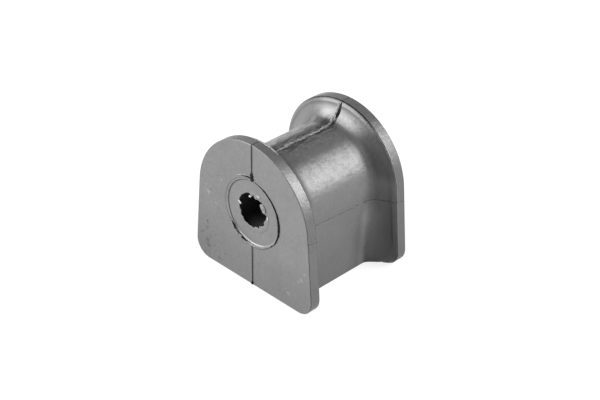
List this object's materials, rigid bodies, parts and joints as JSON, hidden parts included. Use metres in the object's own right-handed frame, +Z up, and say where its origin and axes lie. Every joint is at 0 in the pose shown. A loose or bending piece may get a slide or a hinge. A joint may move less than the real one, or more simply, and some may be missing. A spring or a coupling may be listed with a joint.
{
  "type": "sway bar bushing",
  "caption": "Moulded rubber bushing with an arch-shaped flange at each end, a narrower arched body between, a flat base and a lengthwise bore that grips a bar.",
  "frame": {"origin": "on the flat base, below the middle of the bore's axis, half way between the end faces", "axes": "+Z up from the base, +Y along the bore towards the end with the open split, +X across to the side"},
  "size_m": [0.051, 0.042, 0.05],
  "materials": {
    "rubber": "satin"
  },
  "bodies": {
    "root": {"bushing": "rubber"}
  },
  "joints": []
}
